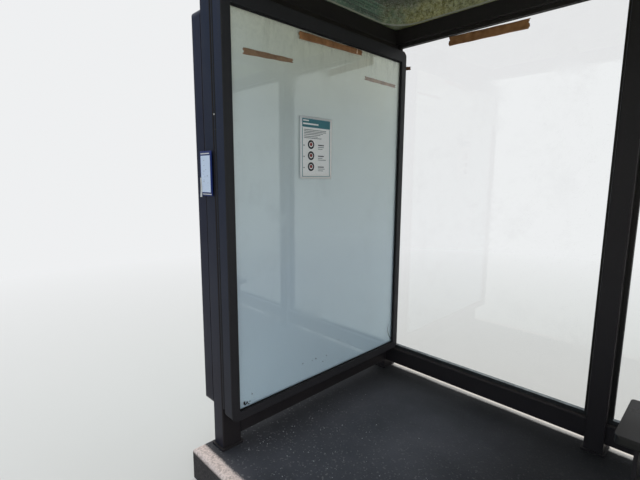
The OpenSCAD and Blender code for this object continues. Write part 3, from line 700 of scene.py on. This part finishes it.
def disc_grid(x, centre, radius):
    """A round disc in the plane x: P(r, a) = centre + r (cos a, sin a), r from next to nothing to radius."""
    r, a = np.meshgrid(np.linspace(1e-5, radius, 3), np.linspace(0, 2 * np.pi, 33), indexing="ij")
    return np.stack([0 * r + x, centre[0] + r * np.cos(a), centre[1] + r * np.sin(a)], -1)[::-1]


def within(low, high, a, b):
    """The point a of the way across a sheet from low to high, and b of the way up."""
    return (low[0] + a * (high[0] - low[0]), low[1] + b * (high[1] - low[1]))


def notice_bars(bars, out=0.0):
    """Flat bars on the notice, each from one point to another in shares of its width and height."""
    low, high = notice_low, notice_high
    return [plate_grid(ink_face + out, within(low, high, *a), within(low, high, *b)) for a, b in bars]


def notice_discs(radius, out=0.0, up=0.0):
    """Flat discs in the middle of the notice's three round pictures."""
    centres = [within(notice_low, notice_high, 0.33, b) for b in (0.555, 0.375, 0.195)]
    return [disc_grid(ink_face + out, (y, z + up), radius) for y, z in centres]


def inked(name, colour, rough=0.35):
    """A flat printed colour with the faint mottling of ink on paper."""
    tones = colour, toned(colour, 0.86)
    return mottled(name, 420.0, 2.0, (0.3, 0.7), *tones, Roughness=rough, Specular_IOR_Level=0.2)


def printed(name, grids, finish, body="case_door"):
    """Flat prints of one ink as one thin piece."""
    return film(name, grids, ink_thick, finish, body, "opal_sheet", smooth=False)


notice_low, notice_high = (-0.2520, 1.4270), (-0.0350, 1.7245)
paper_thick, ink_thick, ink_step = 0.0006, 0.00012, 0.0002
paper_face = window_face + 0.0007
ink_face = paper_face + 0.00018
paper = inked("laminated_paper", linear(252, 251, 246))
head_ink = inked("head_ink", linear(68, 126, 134))
dark_ink = inked("dark_ink", linear(44, 46, 50))
grey_ink = inked("grey_ink", linear(120, 124, 124))
red_ink = inked("red_ink", linear(148, 66, 62))
sheet = plate_grid(paper_face, notice_low, notice_high, 9)
film("notice_paper", [sheet], paper_thick, paper, "case_door", "opal_sheet")
printed("notice_head", notice_bars([((0.06, 0.83), (0.94, 0.965))]), head_ink)
frame_lines = [((0.06, 0.03), (0.075, 0.82)), ((0.925, 0.03), (0.94, 0.82)), ((0.06, 0.03), (0.94, 0.038))]
printed("notice_border", notice_bars(frame_lines), head_ink)
head_words = [((0.09, 0.925), (0.26, 0.945)), ((0.09, 0.870), (0.56, 0.895))]
printed("notice_head_lines", notice_bars(head_words, ink_step), paper)
text_tall, bold_tall = 0.010, 0.016
rng = np.random.default_rng(5)
text_rows = [(0.12, b, 0.12 + 0.40 + 0.36 * rng.random()) for b in (0.785, 0.760, 0.735, 0.710, 0.680, 0.655)]
text_rows += [
    (0.55, b - d, 0.55 + 0.14 + 0.12 * rng.random()) for b in (0.545, 0.365, 0.185) for d in (0.030, 0.060)
]
bold_rows = [(0.55, b, 0.74) for b in (0.545, 0.365, 0.185)] + [(0.10, b, 0.13) for b in (0.53, 0.35, 0.17)]
printed("notice_text", notice_bars([((a, b), (c, b + text_tall)) for a, b, c in text_rows]), grey_ink)
printed("notice_bold", notice_bars([((a, b), (c, b + bold_tall)) for a, b, c in bold_rows]), dark_ink)
printed("notice_rounds", notice_discs(0.0215), dark_ink)
printed("notice_round_fields", notice_discs(0.0125, ink_step), paper)
printed("notice_round_marks", notice_discs(0.0088, 2 * ink_step, 0.001), red_ink)

# Black specks of dirt sit in the pane's lower front corner, and fainter ones farther
# along, each given as (y, z, half width, half height) and domed like a crumb.
black_specks = [
    (-0.6005, 0.3925, 0.0050, 0.0085),
    (-0.5950, 0.3840, 0.0065, 0.0040),
    (-0.5855, 0.3885, 0.0045, 0.0060),
    (-0.5760, 0.3805, 0.0040, 0.0030),
]
faint_specks = [
    (-0.5694, 0.3900, 0.0030, 0.0035),
    (-0.5562, 0.4220, 0.0030, 0.0045),
    (-0.1402, 0.4655, 0.0045, 0.0045),
    (-0.2352, 0.4675, 0.0030, 0.0040),
    (-0.0874, 0.4324, 0.0035, 0.0030),
    (-0.0596, 0.4580, 0.0030, 0.0040),
    (-0.1668, 0.4638, 0.0030, 0.0025),
    (0.0420, 0.5210, 0.0025, 0.0030),
]
crumb = [(0.05, 0.0), (1.0, 0.0), (0.9, 0.3), (0.5, 0.5), (0.05, 0.55)]
crumb_thick, crumb_gap = 0.0015, 0.0001
faint_dirt = inked("faint_dirt", linear(118, 130, 136), 0.8)
black_dirt = inked("black_dirt", linear(10, 12, 14), 0.8)
for name, specks, finish in (
    ("pane_specks", black_specks, black_dirt),
    ("pane_faint_specks", faint_specks, faint_dirt),
):
    centre = np.array([(window_face + crumb_gap, y, z) for y, z, *_ in specks])
    grown = np.array([(crumb_thick, wide, tall) for *_, wide, tall in specks])[:, None, None, :]
    crumbs = centre[:, None, None, :] + turned(0 * centre, crumb, 9, "X") * grown
    dress(closed_shells(name, crumbs), finish, "case_door")

# At the back of the pane a lip of the gasket has come loose: a narrow strip that
# hangs down in a slight curve, P(s, t) with s across it and t down it.
lip_top, lip_long, lip_gap, lip_thick = 0.496, 0.112, 0.0006, 0.0004
lip_root, lip_lean, lip_bend, lip_wide, lip_spread = 0.5112, 0.045, 0.08, 0.002, 0.004
s, t = np.meshgrid(np.linspace(0, 1, 4), np.linspace(1, 0, 25), indexing="ij")
lip_y = lip_root - lip_lean * t + lip_bend * t**2 + (s - 0.5) * (lip_wide + lip_spread * t)
lip = np.stack([0 * s + window_face + lip_gap, lip_y, lip_top - lip_long * t], -1)
film("loose_gasket_lip", [lip], lip_thick, gasket, "case_door", "seal_rubber")

# One small pan-head screw of bright steel sits in the dark hinge line, on the
# hinge's front.
screw_x, screw_z, hinge_cover = -1.8385, 1.6893, 0.0033
screw_at = [(screw_x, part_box("hinge_pin")[0].y - hinge_cover, screw_z)]
pan = [(0.0004, 0.0), (0.0034, 0.0), (0.0033, 0.0012), (0.0024, 0.0020), (0.0004, 0.0023)]
tones = linear(205, 205, 200), linear(232, 232, 228)
bright = mottled("bright_screw", 300.0, 3.0, (0.0, 1.0), *tones, Metallic=0.6, Roughness=0.3)
dress(closed_shells("hinge_line_screw", turned(screw_at, pan, 16, "-Y")), bright, "case_door")


# Stop notice: a printed plastic sticker across the case's outer half and the post's
# front, with a blue edge and a pale middle with faint marks. Its lower left edge peels.
def front_grid(y, low, high, count=5):
    """The same rectangle turned to the front, in the plane y:
    P(s, t) = (low x + s wide, y, low z + t tall)."""
    return plate_grid(y, low, high, count)[..., [1, 0, 2]]


def sticker_bars(bars, out):
    """Flat bars on the sticker, each from one point to another in shares of its width and height."""
    low, high = sticker_low, sticker_high
    return [front_grid(sticker_face - out, within(low, high, *a), within(low, high, *b)) for a, b in bars]


sticker_low, sticker_high = (-1.9520, 1.3490), (-1.8520, 1.5420)
sticker_thick, peel_thick = 0.0005, 0.0003
sticker_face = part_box("post_front_left")[0].y - 0.0006
blue_ink = inked("blue_ink", linear(12, 40, 104), 0.5)
field_ink = inked("sticker_field", linear(224, 236, 255), 0.4)
peeled = inked("peeled_film", linear(222, 220, 216), 0.5)
sheet = front_grid(sticker_face, sticker_low, sticker_high, 9)
film("sticker_blue", [sheet], sticker_thick, blue_ink, "shelter", "anthracite_aluminium")
printed("sticker_field_sheet", sticker_bars([((0.06, 0.085), (0.84, 0.90))], ink_step), field_ink, "shelter")
bands = [((0.06, 0.93), (0.80, 0.955)), ((0.16, 0.030), (0.90, 0.052))]
printed("sticker_bands", sticker_bars(bands, ink_step), peeled, "shelter")
rng = np.random.default_rng(8)
marks = [(0.14 + 0.5 * rng.random(), 0.2 + 0.6 * rng.random()) for _ in range(11)]
marks = [((a, b), (a + 0.03 + 0.10 * rng.random(), b + 0.008)) for a, b in marks]
printed("sticker_marks", sticker_bars(marks, 2 * ink_step), grey_ink, "shelter")
peel_wide, peel_tall, peel_under, peel_left = 0.011, 0.085, 0.006, 0.001
peel_gap, peel_out, peel_wave = 0.0008, 0.004, 0.0015
s, t = np.meshgrid(np.linspace(0, 1, 25), np.linspace(0, 1, 5), indexing="ij")
peel = np.stack(
    [
        sticker_low[0] - peel_left + peel_wide * t + peel_wave * np.sin(4 * s),
        sticker_face - peel_gap - peel_out * (1 - s) ** 2 * (1 - t),
        sticker_low[1] - peel_under + peel_tall * s,
    ],
    -1,
)
film("sticker_peel", [peel], peel_thick, peeled, "shelter", "anthracite_aluminium")

# Tape on the back glass: the same brown parcel tape, once long under the roof ring
# and once in the corner, laid on the glass from inside.
glass_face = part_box("back_glass_left")[0].y
for count, (near, far, wide, seed) in enumerate(
    (
        ((-1.512, 2.1915), (-1.085, 2.1820), (0.050, 0.047), 6),
        ((-1.8045, 2.0985), (-1.7602, 2.0925), (0.022, 0.019), 7),
    )
):
    out, along, up = np.moveaxis(tape_on_case(0.0, near, far, wide, seed), -1, 0)
    strip = np.stack([along, glass_face - out, up], -1)
    film("tape_back_wall_%d" % count, [strip], tape_thick, parcel_tape, "shelter", "wall_glass")

# Bench: four dark coated seats on a square tube that runs through two leg plates.
# Each plate is welded to a foot that is bolted down with four nuts on washers.
seat_coat = anthracite("seat_coat", linear(32, 34, 38), linear(50, 49, 47), 0.34, 0.55, 0.60)
coat_nodes(["bench_seats"], seat_coat)
coat_nodes(["bench_tube_rail", "bench_leg_left", "bench_leg_right"], tube_coat)
foot_thick, bolt_in_x, bolt_in_y = 0.010, 0.018, 0.03
leg_bolts = []
for name in ("bench_leg_left", "bench_leg_right"):
    low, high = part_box(name)
    columns, rows = (low.x + bolt_in_x, high.x - bolt_in_x), (low.y + bolt_in_y, high.y - bolt_in_y)
    leg_bolts += [(bx, by, slab_top + foot_thick) for bx in columns for by in rows]
washer = [(0.0005, 0.0), (0.0105, 0.0), (0.0110, 0.0004)]
washer += [(0.0110, 0.0018), (0.0105, 0.0022), (0.0005, 0.0022)]
nut = [(0.0004, 0.0021), (0.0086, 0.0021), (0.0092, 0.0028)]
nut += [(0.0092, 0.0088), (0.0086, 0.0096), (0.0004, 0.0096)]
washers, nuts = turned(leg_bolts, washer, 20), turned(leg_bolts, nut, 24, flats=6)
dress(closed_shells("leg_washers", washers), zinc, "shelter", smooth=False)
dress(closed_shells("leg_nuts", nuts), zinc, "shelter", smooth=False)
